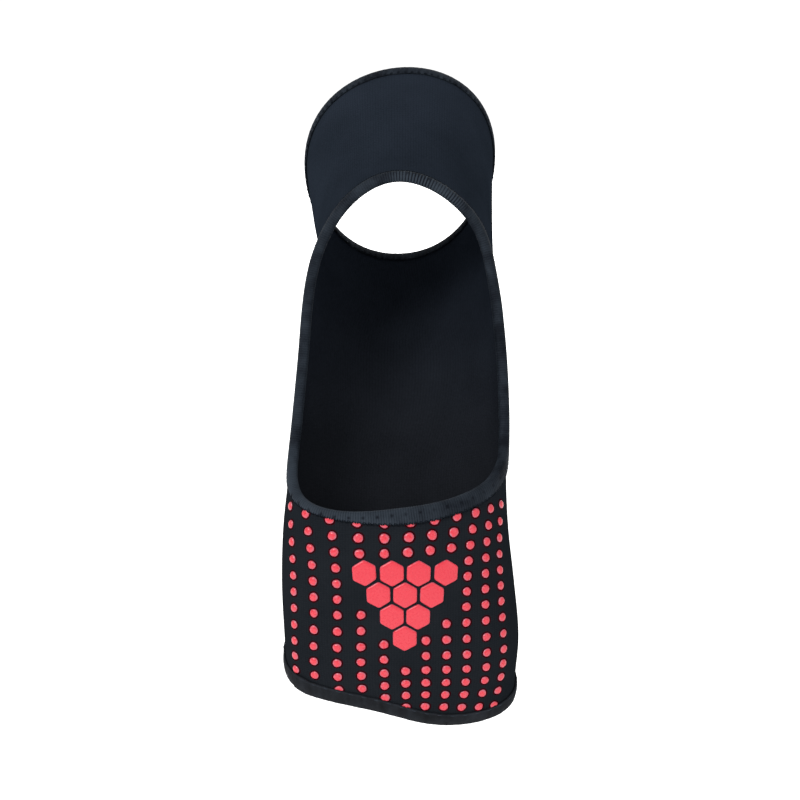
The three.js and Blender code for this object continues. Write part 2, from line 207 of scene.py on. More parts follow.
def face(at, angle):
    """Outer face: in the plane through the section's sole and top points, a rounded rectangle in polar form.

    radius = (|cos a / half height|^n + |sin a / half width|^n)^(-1/n), with n the squareness of that corner.
    """
    at, angle = np.broadcast_arrays(np.asarray(at, float), np.asarray(angle, float))
    columns = np.moveaxis(section(at), -1, 0)
    top_y, top_z, sole_y, sole_z, lateral, medial, waist, square_l, square_m, square_t = columns
    height = np.hypot(sole_y - top_y, sole_z - top_z)
    down_y, down_z = (sole_y - top_y) / height, (sole_z - top_z) / height
    across, down = np.sin(angle), np.cos(angle)
    half = np.where(down > 0, waist, 1 - waist) * height
    width = np.where(across > 0, medial, lateral)
    square = np.where(down > 0, np.where(across > 0, square_m, square_l), square_t)
    radius = (np.abs(down / half) ** square + np.abs(across / width) ** square) ** (-1 / square)
    drop = radius * down - waist * height
    return np.stack([radius * across, sole_y + down_y * drop, sole_z + down_z * drop], -1)


def directions(at, angle):
    """Slopes of the face along the sleeve and round it, and the unit direction straight out of it."""
    step = 1e-3
    lengthwise = (face(at + step, angle) - face(at - step, angle)) / (2 * step)
    around = (face(at, angle + step) - face(at, angle - step)) / (2 * step)
    return lengthwise, around, unit(np.cross(around, lengthwise))


def layer(at, angle, height):
    """Points at a height over the outer face."""
    return face(at, angle) + directions(at, angle)[2] * np.asarray(height)[..., None]


def walk(at, angle, step, parts=2):
    """Places reached by steps over the face, in equal parts, each solved for its shares of the slopes."""
    for _ in range(parts):
        lengthwise, around, _ = directions(at, angle)
        a, b, c = ((p * q).sum(-1) for p, q in
                   ((lengthwise, lengthwise), (lengthwise, around), (around, around)))
        u, v = (step * lengthwise).sum(-1), (step * around).sum(-1)
        scale = 1 / (parts * (a * c - b * b))
        at, angle = at + (u * c - v * b) * scale, angle + (v * a - u * b) * scale
    return at, angle


def closing(values, winds=False):
    """A closed line's values with the first repeated at the end, a whole turn on where it winds round."""
    turns = TURN * np.round((values[-1] - values[0]) / TURN) if winds else 0
    return np.append(values, values[0] + turns)


def evenly(at, angle, tape, count, closed=True):
    """Places spaced evenly by length along a line, the tape's reach there, and the line's length."""
    if closed:
        at, angle, tape = closing(at), closing(angle, winds=True), closing(tape)
    run = np.concatenate([[0], np.cumsum(np.linalg.norm(np.diff(face(at, angle), axis=0), axis=-1))])
    wanted = np.linspace(0, run[-1], count, endpoint=not closed)
    return *(np.interp(wanted, run, column) for column in (at, angle, tape)), run[-1]


def heel_edge():
    """Fine places round the heel opening and the tape's reach: a smooth closed curve through its table."""
    rows = len(HEEL_OPENING)
    t = np.arange(rows * HEEL_FINE) / HEEL_FINE
    i = t.astype(int)
    near = [HEEL_OPENING[(i + k) % rows] for k in (-1, 0, 1, 2)]
    at, degrees, tape = cubic(*near, (t - i)[:, None]).T
    return at, np.radians(degrees), tape


def toe_edge(angle):
    """Section number of the toe edge at an angle: slanted sideways by its sine."""
    return TOE_AT + TOE_SLANT * np.sin(angle)


def rim_edge(angle):
    """Section number of the rim at an angle: slanted sideways by its sine, and raised by the sine squared."""
    return RIM_AT + np.sin(angle) * (RIM_SLANT + RIM_RISE * np.sin(angle))


# Colours and materials

def colour(code):
    """Linear colour of an sRGB hex code."""
    srgb = np.array([int(code[i:i + 2], 16) / 255 for i in (1, 3, 5)])
    linear = np.where(srgb <= 0.04045, srgb / 12.92, ((srgb + 0.055) / 1.055) ** 2.4)
    return (*linear, 1.0)


def add(tree, kind, inputs=None, **settings):
    """Adds one node: settings name its properties, inputs its sockets, each fed by a value or by a link."""
    made = tree.nodes.new(kind)
    for name, value in settings.items():
        setattr(made, name, value)
    for name, value in (inputs or {}).items():
        if isinstance(value, bpy.types.NodeSocket):
            tree.links.new(value, made.inputs[name])
        else:
            made.inputs[name].default_value = value
    return made


def new_material(name):
    """A new material with its node tree and its shader."""
    material = bpy.data.materials.new(name)
    material.use_nodes = True
    tree = material.node_tree
    return material, tree, tree.nodes["Principled BSDF"]


def set_shader(tree, shader, links, **constants):
    """Sets the shader's constant sockets and links the ones that vary."""
    for name, value in constants.items():
        shader.inputs[name.replace("_", " ")].default_value = value
    for name, value in links.items():
        tree.links.new(value, shader.inputs[name])


def nylon_jersey(name, sole_dark, sole_light, cuff_dark, cuff_light):
    """Nylon jersey bonded on neoprene foam: matte, with fine wales of V-shaped loops.

    The dye is a little bluer toward the cuff, and the cloth is painted paler toward the top of the cuff, as
    light from above would make it. Wales and courses are drawn about twice as coarse as the real ones, so
    that they show. The tone is 0.5 of the knit, 0.8 of the clouds and 0.6 of the fuzz, less 0.4; through the
    knit the grooves between the wales are painted darker, as shade.
    """
    material, tree, shader = new_material(name)
    place = add(tree, "ShaderNodeSeparateXYZ", {0: add(tree, "ShaderNodeUVMap", uv_map="cloth").outputs[0]})
    wale = add(tree, "ShaderNodeMath", {0: place.outputs[0], 1: 1 / WALE}, operation="MULTIPLY")
    course = add(tree, "ShaderNodeMath", {0: place.outputs[1], 1: 1 / COURSE}, operation="MULTIPLY")
    share = add(tree, "ShaderNodeMath", {0: wale.outputs[0]}, operation="FRACT")
    aside = add(tree, "ShaderNodeMath", {0: share.outputs[0], 1: 0.5}, operation="SUBTRACT")
    aside = add(tree, "ShaderNodeMath", {0: aside.outputs[0]}, operation="ABSOLUTE")
    leaning = add(tree, "ShaderNodeMath", {0: aside.outputs[0], 1: LOOP_LEAN, 2: course.outputs[0]},
                  operation="MULTIPLY_ADD")
    turn = add(tree, "ShaderNodeMath", {0: leaning.outputs[0], 1: TURN}, operation="MULTIPLY")
    loop = add(tree, "ShaderNodeMath", {0: turn.outputs[0]}, operation="SINE")
    loop = add(tree, "ShaderNodeMath", {0: loop.outputs[0], 1: 0.35, 2: 0.5}, operation="MULTIPLY_ADD")
    groove = add(tree, "ShaderNodeMapRange", {"Value": aside.outputs[0], "From Min": 0.3, "From Max": 0.5,
                                              "To Min": 1.0, "To Max": 0.0}, interpolation_type="SMOOTHSTEP")
    knit = add(tree, "ShaderNodeMath", {0: loop.outputs[0], 1: groove.outputs[0]}, operation="MULTIPLY")
    where = add(tree, "ShaderNodeTexCoord").outputs["Object"]
    cloud = add(tree, "ShaderNodeTexNoise", {"Vector": where, "Scale": 1 / (CLOUD * MM), "Detail": 3.0})
    fuzz = add(tree, "ShaderNodeTexNoise", {"Vector": where, "Scale": 1 / (FUZZ * MM), "Detail": 2.0})
    # Painted shade: through the knit, the grooves between the wales are darker.
    tone = add(tree, "ShaderNodeMath", {0: knit.outputs[0], 1: 0.5, 2: -0.4}, operation="MULTIPLY_ADD")
    tone = add(tree, "ShaderNodeMath", {0: cloud.outputs[0], 1: 0.8, 2: tone.outputs[0]},
               operation="MULTIPLY_ADD")
    tone = add(tree, "ShaderNodeMath", {0: fuzz.outputs[0], 1: 0.6, 2: tone.outputs[0]},
               operation="MULTIPLY_ADD")
    spot = add(tree, "ShaderNodeSeparateXYZ", {0: where})
    # Painted light: the cloth turns paler toward the top of the cuff, as lit from above.
    painted_top_light = add(tree, "ShaderNodeMapRange", {"Value": spot.outputs[2], "From Min": TOP_LIT_FROM * MM,
                                            "From Max": TOP_LIT_TO * MM, "To Max": TOP_LIT_BY})
    tone = add(tree, "ShaderNodeMath", {0: tone.outputs[0], 1: painted_top_light.outputs[0]}, operation="ADD",
               use_clamp=True)
    bluer = add(tree, "ShaderNodeMapRange", {"Value": spot.outputs[2], "From Min": BLUER_FROM * MM,
                                             "From Max": BLUER_TO * MM}, interpolation_type="SMOOTHSTEP")
    dark = add(tree, "ShaderNodeMix", {0: bluer.outputs[0], 6: colour(sole_dark), 7: colour(cuff_dark)},
               data_type="RGBA")
    light = add(tree, "ShaderNodeMix", {0: bluer.outputs[0], 6: colour(sole_light), 7: colour(cuff_light)},
                data_type="RGBA")
    dyed = add(tree, "ShaderNodeMix", {0: tone.outputs[0], 6: dark.outputs[2], 7: light.outputs[2]},
               data_type="RGBA")
    relief = add(tree, "ShaderNodeMath", {0: fuzz.outputs[0], 1: 0.4, 2: knit.outputs[0]},
                 operation="MULTIPLY_ADD")
    bump = add(tree, "ShaderNodeBump", {"Strength": 0.5, "Distance": KNIT_RELIEF * MM,
                                        "Height": relief.outputs[0]})
    set_shader(tree, shader, {"Base Color": dyed.outputs[2], "Normal": bump.outputs[0]},
               Roughness=0.8, IOR=1.45, Specular_IOR_Level=0.0)
    return material


def knit_tape(name, dark, light, thread, blotch):
    """Elastic edge tape of textured nylon: matte, its hollows darker, with blotches and a fine thread grain.

    thread is the size of the grain, and blotch how strongly the blotches show. The grain's hollows are
    painted darker, as shade. An attribute gives how light the tape is before both: its tone with painted
    light and shade.
    """
    material, tree, shader = new_material(name)
    where = add(tree, "ShaderNodeTexCoord").outputs["Object"]
    grain = add(tree, "ShaderNodeTexNoise", {"Vector": where, "Scale": 1 / (thread * MM), "Detail": 3.0})
    cloud = add(tree, "ShaderNodeTexNoise", {"Vector": where, "Scale": 1 / (BLOTCH * MM), "Detail": 3.0})
    tone_and_painted_light = add(tree, "ShaderNodeAttribute", attribute_name="tone_and_painted_light")
    # Painted shade: the grain's hollows are darker.
    tone = add(tree, "ShaderNodeMath", {0: grain.outputs[0], 1: 0.5, 2: -0.25 - blotch / 2},
               operation="MULTIPLY_ADD")
    tone = add(tree, "ShaderNodeMath", {0: cloud.outputs[0], 1: blotch, 2: tone.outputs[0]},
               operation="MULTIPLY_ADD")
    # The attribute brings in the tape's painted light and painted shade.
    tone = add(tree, "ShaderNodeMath", {0: tone_and_painted_light.outputs["Fac"], 1: tone.outputs[0]}, operation="ADD",
               use_clamp=True)
    dyed = add(tree, "ShaderNodeMix", {0: tone.outputs[0], 6: colour(dark), 7: colour(light)},
               data_type="RGBA")
    bump = add(tree, "ShaderNodeBump", {"Strength": 0.5, "Distance": GRAIN_RELIEF * MM,
                                        "Height": grain.outputs[0]})
    set_shader(tree, shader, {"Base Color": dyed.outputs[2], "Normal": bump.outputs[0]},
               Roughness=0.72, IOR=1.45, Specular_IOR_Level=0.08, Sheen_Weight=0.03, Sheen_Roughness=0.4,
               Sheen_Tint=colour("#9aa6b4"))
    return material


def red_silicone(name, middle, glint_colour, foot):
    """Silicone printed on cloth and cured: satin, with a painted highlight and painted shade.

    The attribute thin runs from 0 where a pad is thick through 0.5 at its shoulder to 1 at its foot. The
    paler cast is a painted highlight that comes in blotches toward the shoulder, and the foot colour is
    painted shade where the silicone meets the cloth.
    """
    material, tree, shader = new_material(name)
    where = add(tree, "ShaderNodeTexCoord").outputs["Object"]
    thin = add(tree, "ShaderNodeAttribute", attribute_name="thin")
    mottle = add(tree, "ShaderNodeTexNoise", {"Vector": where, "Scale": 1 / (MOTTLE * MM), "Detail": 2.0})
    share = add(tree, "ShaderNodeMath", {0: mottle.outputs[0], 1: 3.0, 2: -0.5}, operation="MULTIPLY_ADD")
    share = add(tree, "ShaderNodeMath", {0: thin.outputs["Fac"], 1: share.outputs[0]}, operation="MULTIPLY")
    # Painted highlight: paler blotches toward the shoulder.
    shoulder = add(tree, "ShaderNodeMapRange", {"Value": share.outputs[0], "From Min": 0.2, "From Max": 0.8})
    # Painted shade: dark toward the foot, where the silicone meets the cloth.
    edge = add(tree, "ShaderNodeMapRange", {"Value": thin.outputs["Fac"], "From Min": 0.6, "From Max": 1.0})
    cast = add(tree, "ShaderNodeMix", {0: shoulder.outputs[0], 6: colour(middle), 7: colour(glint_colour)},
               data_type="RGBA")
    cast = add(tree, "ShaderNodeMix", {0: edge.outputs[0], 6: cast.outputs[2], 7: colour(foot)},
               data_type="RGBA")
    rough = add(tree, "ShaderNodeMapRange", {"Value": mottle.outputs[0], "To Min": 0.2, "To Max": 0.36})
    bump = add(tree, "ShaderNodeBump", {"Strength": 0.2, "Distance": MOTTLE_RELIEF * MM,
                                        "Height": mottle.outputs[0]})
    set_shader(tree, shader, {"Base Color": cast.outputs[2], "Roughness": rough.outputs[0],
                              "Normal": bump.outputs[0]}, IOR=1.41, Specular_IOR_Level=0.75)
    return material


def painted_shade_film(name, code):
    """A dark ring of painted shade round a dot's foot, with no gloss."""
    material, tree, shader = new_material(name)
    set_shader(tree, shader, {}, Base_Color=colour(code), Roughness=0.9, IOR=1.41, Specular_IOR_Level=0.0)
    return material


def sewing_thread(name, dark, light):
    """Spun polyester thread: matte, with the twist of its plies."""
    material, tree, shader = new_material(name)
    where = add(tree, "ShaderNodeTexCoord").outputs["Object"]
    twist = add(tree, "ShaderNodeTexNoise", {"Vector": where, "Scale": 1 / (TWIST * MM), "Detail": 1.0})
    dyed = add(tree, "ShaderNodeMix", {0: twist.outputs[0], 6: colour(dark), 7: colour(light)},
               data_type="RGBA")
    bump = add(tree, "ShaderNodeBump", {"Strength": 0.4, "Distance": TWIST_RELIEF * MM,
                                        "Height": twist.outputs[0]})
    set_shader(tree, shader, {"Base Color": dyed.outputs[2], "Normal": bump.outputs[0]},
               Roughness=0.8, IOR=1.5, Specular_IOR_Level=0.03)
    return material


jersey = nylon_jersey("nylon_jersey", "#13161a", "#1f2226", "#161b21", "#232932")
lining = nylon_jersey("lining_jersey", "#15171a", "#222429", "#14181f", "#20262f")
ribbed_knit = knit_tape("ribbed_knit_tape", "#0a0e15", "#2c333b", thread=0.5, blotch=1.2)
smooth_knit = knit_tape("smooth_knit_tape", "#0f1013", "#212429", thread=0.45, blotch=1.8)
# Painted: the silicone's second colour is a highlight, and its third is shade at the foot.
silicone = red_silicone("cured_silicone", "#ca2738", "#b2677a", "#2c050a")
# Painted shade: the dark ring round each dot's foot.
shade_film = painted_shade_film("painted_shade_film", "#30060b")
dark_thread = sewing_thread("dark_thread", "#0a0d12", "#141a21")
grey_thread = sewing_thread("grey_thread", "#22272d", "#353b43")


# Meshes

def piece(name, points, faces, materials, uv=None, attribute=None, face_material=None):
    """A named mesh of points in millimetres that rides on the part.

    uv is given for each face corner, attribute for each point, face_material for each face.
    """
    mesh = bpy.data.meshes.new(name)
    corners = [corner for block in faces for corner in block.tolist()]
    mesh.from_pydata((points.reshape(-1, 3) * MM).tolist(), [], corners)
    for material in materials:
        mesh.materials.append(material)
    mesh.polygons.foreach_set("use_smooth", np.ones(len(mesh.polygons), bool))
    if face_material is not None:
        mesh.polygons.foreach_set("material_index", face_material)
    if uv is not None:
        mesh.uv_layers.new(name="cloth").data.foreach_set("uv", uv.astype(np.float32).ravel())
    if attribute is not None:
        label, values = attribute
        made = mesh.attributes.new(label, "FLOAT", "POINT")
        made.data.foreach_set("value", values.astype(np.float32).ravel())
    mesh.update()
    placed = bpy.data.objects.new(name, mesh)
    bpy.context.scene.collection.objects.link(placed)
    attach(placed, "root")
    return placed


def cell_corners(grid):
    """The four neighbours of each cell of a grid, in order round the cell."""
    return np.stack([grid[:-1, :-1], grid[:-1, 1:], grid[1:, 1:], grid[1:, :-1]], 2)


def wrapped(grid):
    """A grid whose first row and column are repeated at the end."""
    grid = np.concatenate([grid, grid[:1]], 0)
    return np.concatenate([grid, grid[:, :1]], 1)


# The sleeve

def heel_arc(start, stop, count):
    """Even places along the heel edge from one place in its table to another."""
    at, angle, tape = heel_edge()
    k = np.arange(int(start * HEEL_FINE), int(stop * HEEL_FINE) + 1) % len(at)
    return evenly(at[k], angle[k], tape[k], count, closed=False)[:2]


def sleeve_grid():
    """Rows of places from the toe edge to the rim, with a rectangle of cells left out for the heel.

    The rectangle's bottom and top rows and side columns lie on the heel edge. Rows of the band run straight
    from the toe edge to its bottom row, rows of the sides run round the instep from one side to the other,
    and rows of the cuff run from its top row to the rim.
    """
    medial = [x[::-1] for x in heel_arc(TOP_MEDIAL, LOW_MEDIAL, SIDE_ROWS + 1)]
    lateral = heel_arc(LOW_LATERAL, TOP_LATERAL, SIDE_ROWS + 1)
    bottom = [x[::-1] for x in heel_arc(LOW_MEDIAL, LOW_LATERAL, SOLE_COLUMNS + 1)]
    top = heel_arc(TOP_LATERAL, TOP_MEDIAL + len(HEEL_OPENING), SOLE_COLUMNS + 1)
    share = np.linspace(0, 1, BACK_COLUMNS + 1)
    ease = smooth(share, 0, 1)
    back_at = medial[0][:, None] * (1 - ease) + lateral[0][:, None] * ease
    back_angle = medial[1][:, None] * (1 - share) + (lateral[1][:, None] + TURN) * share
    low_at, low_angle = (np.append(a[:-1], b[0]) for a, b in ((bottom[0], back_at), (bottom[1], back_angle)))
    high_at, high_angle = (np.append(a[:-1], b[-1]) for a, b in ((top[0], back_at), (top[1], back_angle)))
    band = np.linspace(0, 1, BAND_ROWS + 1)[:, None]
    cuff = np.linspace(0, 1, CUFF_ROWS + 1)[:, None]
    band_at = toe_edge(low_angle) * (1 - band) + low_at * band
    cuff_at = high_at * (1 - cuff) + rim_edge(high_angle) * cuff
    hole = np.full((SIDE_ROWS - 1, SOLE_COLUMNS), np.nan)
    sides_at = np.concatenate([hole, back_at[1:-1]], 1)
    sides_angle = np.concatenate([hole, back_angle[1:-1]], 1)
    band_angle = np.broadcast_to(low_angle, band_at.shape)
    cuff_angle = np.broadcast_to(high_angle, cuff_at.shape)
    return np.vstack([band_at, sides_at, cuff_at]), np.vstack([band_angle, sides_angle, cuff_angle])


def cloth_place(at, angle):
    """Place in the cloth in millimetres: share of the girth from the sole line, and mean length along.

    Every girth takes the same whole number of wales, so that the knit meets itself over the instep.
    """
    rows = np.linspace(0, LAST_SECTION, CLOTH_ROWS * LAST_SECTION + 1)
    points = face(rows[:, None], np.linspace(-np.pi, np.pi, CLOTH_ANGLES + 1)[None, :])
    around = np.cumsum(np.linalg.norm(np.diff(points, axis=1), axis=-1), 1)
    around = np.concatenate([np.zeros((len(rows), 1)), around], 1)
    sole = CLOTH_ANGLES // 2
    girth = (around - around[:, sole, None]) / around[:, -1:] * GIRTH
    along = np.append(0, np.cumsum(np.linalg.norm(np.diff(points, axis=0), axis=-1).mean(1)))
    row = np.clip(at * CLOTH_ROWS, 0, len(rows) - 1.001)
    column = np.clip(np.degrees(angle) + sole, 0, CLOTH_ANGLES - 0.001)
    i, j = row.astype(int), column.astype(int)
    u, v = row - i, column - j
    across = ((girth[i, j] * (1 - v) + girth[i, j + 1] * v) * (1 - u)
              + (girth[i + 1, j] * (1 - v) + girth[i + 1, j + 1] * v) * u)
    return np.stack([across, np.interp(at, rows, along)], -1)


def cloth_corners(at, angle):
    """Cloth place of each cell's corners, with no jump inside a cell where the girth closes."""
    angle = (np.nan_to_num(angle) + np.pi) % TURN - np.pi
    corners = cell_corners(cloth_place(np.nan_to_num(at), angle))
    across = corners[..., 0]
    jumps = across.max(2, keepdims=True) - across.min(2, keepdims=True) > GIRTH / 2
    corners[..., 0] = across + GIRTH * (jumps & (across < 0))
    return corners


def make_sleeve():
    """Outer and inner face of the wall over one grid, joined at the toe edge, the rim and the heel edge."""
    at, angle = sleeve_grid()
    first, last = BAND_ROWS, BAND_ROWS + SIDE_ROWS
    closed = np.ones(len(at), bool)
    closed[first + 1:last] = False
    own = np.isfinite(at)
    own[closed, -1] = False
    count = own.sum()
    index = np.full(at.shape, -1)
    index[own] = np.arange(count)
    index[closed, -1] = index[closed, 0]
    outer = layer(at[own], angle[own], np.zeros(count))
    inner = layer(at[own], angle[own], np.full(count, -WALL))
    shown = np.ones((len(at) - 1, at.shape[1] - 1), bool)
    shown[first:last, :SOLE_COLUMNS] = False
    cells, uv = cell_corners(index)[shown], cloth_corners(at, angle)[shown]
    heel = np.concatenate([index[first, :SOLE_COLUMNS + 1], index[first + 1:last, SOLE_COLUMNS],
                           index[last, :SOLE_COLUMNS + 1][::-1], index[first + 1:last, -1][::-1]])
    edges = [index[0, :-1], index[-1, :-1][::-1], heel[::-1]]
    rims = np.concatenate([np.stack([line + count, np.roll(line, -1) + count, np.roll(line, -1), line], -1)
                           for line in edges])
    uv = np.concatenate([uv.reshape(-1, 2), uv[:, ::-1].reshape(-1, 2), np.zeros((4 * len(rims), 2))])
    side = np.concatenate([np.zeros(len(cells), int), np.ones(len(cells) + len(rims), int)])
    made = piece("sleeve", np.concatenate([outer, inner]), [cells, cells[:, ::-1] + count, rims],
                 [jersey, lining], uv=uv, face_material=side)
    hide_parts("neoprene_sleeve")
    return made


sleeve = make_sleeve()


# The edge tapes

def edge_line(at, angle, tape, count, along=0):
    """Even stations along a closed edge, with the unit step from each into the sleeve and the tape's reach.

    along is 1 where the sleeve lies toward higher sections, -1 toward lower ones, and 0 square to the edge.
    """
    at, angle, tape, length = evenly(at, angle, tape, count)
    lengthwise, _, out = directions(at, angle)
    points = face(at, angle)
    square = np.cross(out, np.roll(points, -1, 0) - np.roll(points, 1, 0))
    into = unit(along * lengthwise if along else square)
    run = np.arange(count) * length / count
    return SimpleNamespace(at=at, angle=angle, tape=tape, points=points, into=into, run=run, length=length)


around = np.linspace(-np.pi, np.pi, EDGE_PLACES, endpoint=False)
toe_reach = TOE_TAPE_WIDTH - TOE_TAPE_TAPER * np.sin(around)
top_reach = np.full(EDGE_PLACES, TOP_TAPE_WIDTH)
heel_line = edge_line(*heel_edge(), HEEL_STATIONS)
toe_line = edge_line(toe_edge(around), around, toe_reach, TOE_STATIONS, along=1)
rim_line = edge_line(rim_edge(around), around, top_reach, RIM_STATIONS, along=-1)


def tape_section(line, puff, fold, sway):
    """Section of a folded tape at each station: steps into the sleeve, heights, and whether a point shows.

    Between the fold and the free edge the faces swell by puff times the 0.8th power of a half sine wave. The
    fold is half an ellipse that sticks out by fold, and the undersides lie close to the sleeve. sway is the
    share by which the reach grows at each station.
    """
    across = np.linspace(1, 0, FACE_POINTS)
    inner = across[::-2]
    swell = puff * np.sin(np.pi * across) ** 0.8
    turn = np.linspace(0, np.pi, FOLD_POINTS + 2)[1:-1]
    under = len(UNDERSIDE)
    reach = np.concatenate([across, np.zeros(FOLD_POINTS), inner, UNDERSIDE, UNDERSIDE[::-1]])
    bend = np.concatenate([np.zeros(FACE_POINTS), -fold * np.sin(turn), np.zeros(len(inner) + 2 * under)])
    steps = reach * (line.tape * (1 + sway))[:, None] + bend
    heights = np.concatenate([TAPE_TOP + swell, -WALL / 2 + (WALL / 2 + TAPE_TOP) * np.cos(turn),
                              -WALL - TAPE_TOP - INNER_SWELL * swell[::-2],
                              np.full(under, -WALL - TAPE_LIFT), np.full(under, TAPE_LIFT)])
    shown = np.arange(len(reach)) < len(reach) - 2 * under
    return SimpleNamespace(steps=steps, heights=np.broadcast_to(heights, steps.shape), shown=shown)


def make_tape(name, node, line, outline, relief, tone, material):
    """Tape section carried round an edge.

    relief lifts the shown faces straight out of the section, and tone is how light each point is.
    """
    ahead = unit(np.stack([np.roll(outline.steps, -1, 1) - np.roll(outline.steps, 1, 1),
                           np.roll(outline.heights, -1, 1) - np.roll(outline.heights, 1, 1)], -1))
    lift = relief * outline.shown
    step = outline.steps + lift * ahead[..., 1]
    height = outline.heights - lift * ahead[..., 0]
    start = (np.broadcast_to(column[:, None], step.shape) for column in (line.at, line.angle))
    points = layer(*walk(*start, line.into[:, None, :] * step[..., None]), height)
    index = np.arange(step.size).reshape(step.shape)
    made = piece(name, points, [cell_corners(wrapped(index)).reshape(-1, 4)], [material],
                 attribute=("tone_and_painted_light", np.broadcast_to(tone, step.shape)))
    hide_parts(node)
    return made


def marks(line, pitch):
    """Distance along an edge from the nearest of even marks about a pitch apart."""
    pitch = line.length / np.round(line.length / pitch)
    return (line.run + pitch / 2) % pitch - pitch / 2


def needle_dents(line, pitch, steps, place, size):
    """Row of round hollows at one distance from the edge: bell curves, 1 in the middle and 0 between."""
    return np.exp(-(marks(line, pitch)[:, None] / size) ** 2 - ((steps - place) / size) ** 2)


def waves(line, counts):
    """Mean of sine waves that each run a whole number of times round an edge."""
    return np.mean([np.sin(TURN * n * line.run / line.length + n) for n in counts], 0)


def make_heel_tape():
    """Ribbed tape: rounded ribs across it with narrow grooves, and a row of needle marks along it.

    A rib is the square root of |sin| along the edge. The tape is stretched round the sides and the top, and
    opened at the top. Painted light makes it light on the sole's lateral half, less so toward the medial
    side;
    round the sides and the top it is dark, and painted shade makes it darkest on the medial side. The rib
    tops are painted lighter as highlights, and the needle marks and a stretched free edge are painted darker
    as shade. The ribs die out toward a stretched free edge, and where the tape is opened they show as painted
    light ticks of uneven length, with painted shade between them.
    """
    outline = tape_section(heel_line, puff=0.3, fold=1.5, sway=0.03 * waves(heel_line, (23, 41, 67)))
    degrees = np.degrees(heel_line.angle)[:, None]
    stretched = smooth(heel_line.at, 4.9, 5.6)[:, None]
    # Painted light: the tape is lighter on the sole's lateral half, as lit, and less so toward the medial
    # side.
    painted_sole_light = (1 - stretched) * (1 - 0.85 * smooth(degrees, -40, 45))
    opened = stretched * (1 - smooth(np.abs(degrees - 15), 12, 24))
    # Painted shade: the tape is darker on the medial side.
    painted_medial_shade = smooth(degrees, 48, 72)
    count = np.cumsum(heel_line.length / len(degrees) / (RIB_PITCH * (1 + RIB_SPREAD * opened[:, 0])))
    ribs = np.sqrt(np.abs(np.sin(np.pi * count * np.round(count[-1]) / count[-1])))[:, None]
    past = outline.steps - heel_line.tape[:, None]
    standing = 1 - stretched * smooth(past, -1.6, -0.2)
    dents = needle_dents(heel_line, MARK_PITCH, outline.steps, MARK_PLACE, MARK_SIZE) * (1 - stretched)
    relief = RIB_HEIGHT * ribs * standing - MARK_DEPTH * dents
    reach = heel_line.tape[:, None] * (0.4 + 0.6 * waves(heel_line, (89, 131, 173))[:, None])
    spread = opened * (1 - smooth(outline.steps - reach, -0.6, 0.2))
    # Painted highlight on the rib tops, stronger on the sole's lateral half.
    light = 0.1 + 0.3 * painted_sole_light + 0.08 * stretched - 0.16 * painted_medial_shade + (0.25 + 0.4 * painted_sole_light) * ribs ** 2 * standing
    # Painted shade on the stretched free edge.
    light = light * (1 - 0.7 * stretched * smooth(past, -0.5, -0.05))
    # Painted light ticks on the opened rib tops with painted shade between them, and painted shade in the
    # needle marks.
    tone = (light + spread * (1.2 * ribs ** 6 - 0.25 * (1 - ribs ** 2))) * (1 - 0.9 * dents)
    return make_tape("heel_tape", "heel_binding", heel_line, outline, relief, tone, ribbed_knit)


def make_toe_tape():
    """Smooth tape, made a little uneven by waves, its free edge lighter, with one end lapped over the other.

    A dark line shows where the ends meet. The free edge is painted lighter as a highlight, and the needle
    marks darker as shade.
    """
    outline = tape_section(toe_line, puff=0.4, fold=1.6, sway=0.03 * waves(toe_line, (13, 29, 47)))
    past = toe_line.run - TOE_JOIN * toe_line.length
    lapped = ((past > 0) * (1 - smooth(past, JOIN_FROM, JOIN_TO)))[:, None]
    inside = toe_line.tape[:, None] - outline.steps
    dents = needle_dents(toe_line, TOE_MARK_PITCH, outline.steps, TOE_MARK_PLACE, TOE_MARK_SIZE)
    uneven = waves(toe_line, (19, 31, 53, 88))[:, None]
    relief = 0.08 * uneven + JOIN_STEP * lapped - TOE_MARK_DEPTH * dents
    # Painted highlight along the free edge, and painted shade in the needle marks.
    edge = 1 - smooth(inside, 0.2, 1.0)
    tone = (0.35 + 0.4 * edge + 0.2 * uneven) * (1 - 0.8 * dents)
    tone = tone * (1 - np.exp(-(past[:, None] / JOIN_LINE) ** 2))
    return make_tape("toe_tape", "toe_binding", toe_line, outline, relief, tone, smooth_knit)


def make_top_tape():
    """Narrow tape, made a little uneven by waves, with a dent for each stitch near its free edge."""
    outline = tape_section(rim_line, puff=0.25, fold=1.2, sway=0.03 * waves(rim_line, (17, 37)))
    dents = needle_dents(rim_line, TOP_STITCH_PITCH, outline.steps, DENT_PLACE, DENT_SIZE)
    uneven = waves(rim_line, (61, 97, 151))[:, None]
    relief = 0.04 * uneven - DENT_DEPTH * dents
    # Painted shade: the stitch dents are darker.
    tone = 0.3 + 0.16 * uneven - 0.35 * dents
    return make_tape("top_tape", "top_binding", rim_line, outline, relief, tone, ribbed_knit)


heel_tape = make_heel_tape()
toe_tape = make_toe_tape()
top_tape = make_top_tape()


# The grip

def past_tape(points, line):
    """Least distance from points on the sleeve to the free edge of a tape, negative under the tape."""
    flat = points.reshape(-1, 3)
    least = np.full(len(flat), np.inf)
    for edge, tape in zip(np.array_split(line.points, EDGE_PARTS), np.array_split(line.tape, EDGE_PARTS)):
        least = np.minimum(least, (np.linalg.norm(flat[:, None] - edge[None], axis=-1) - tape).min(1))
    return least.reshape(points.shape[:-1])


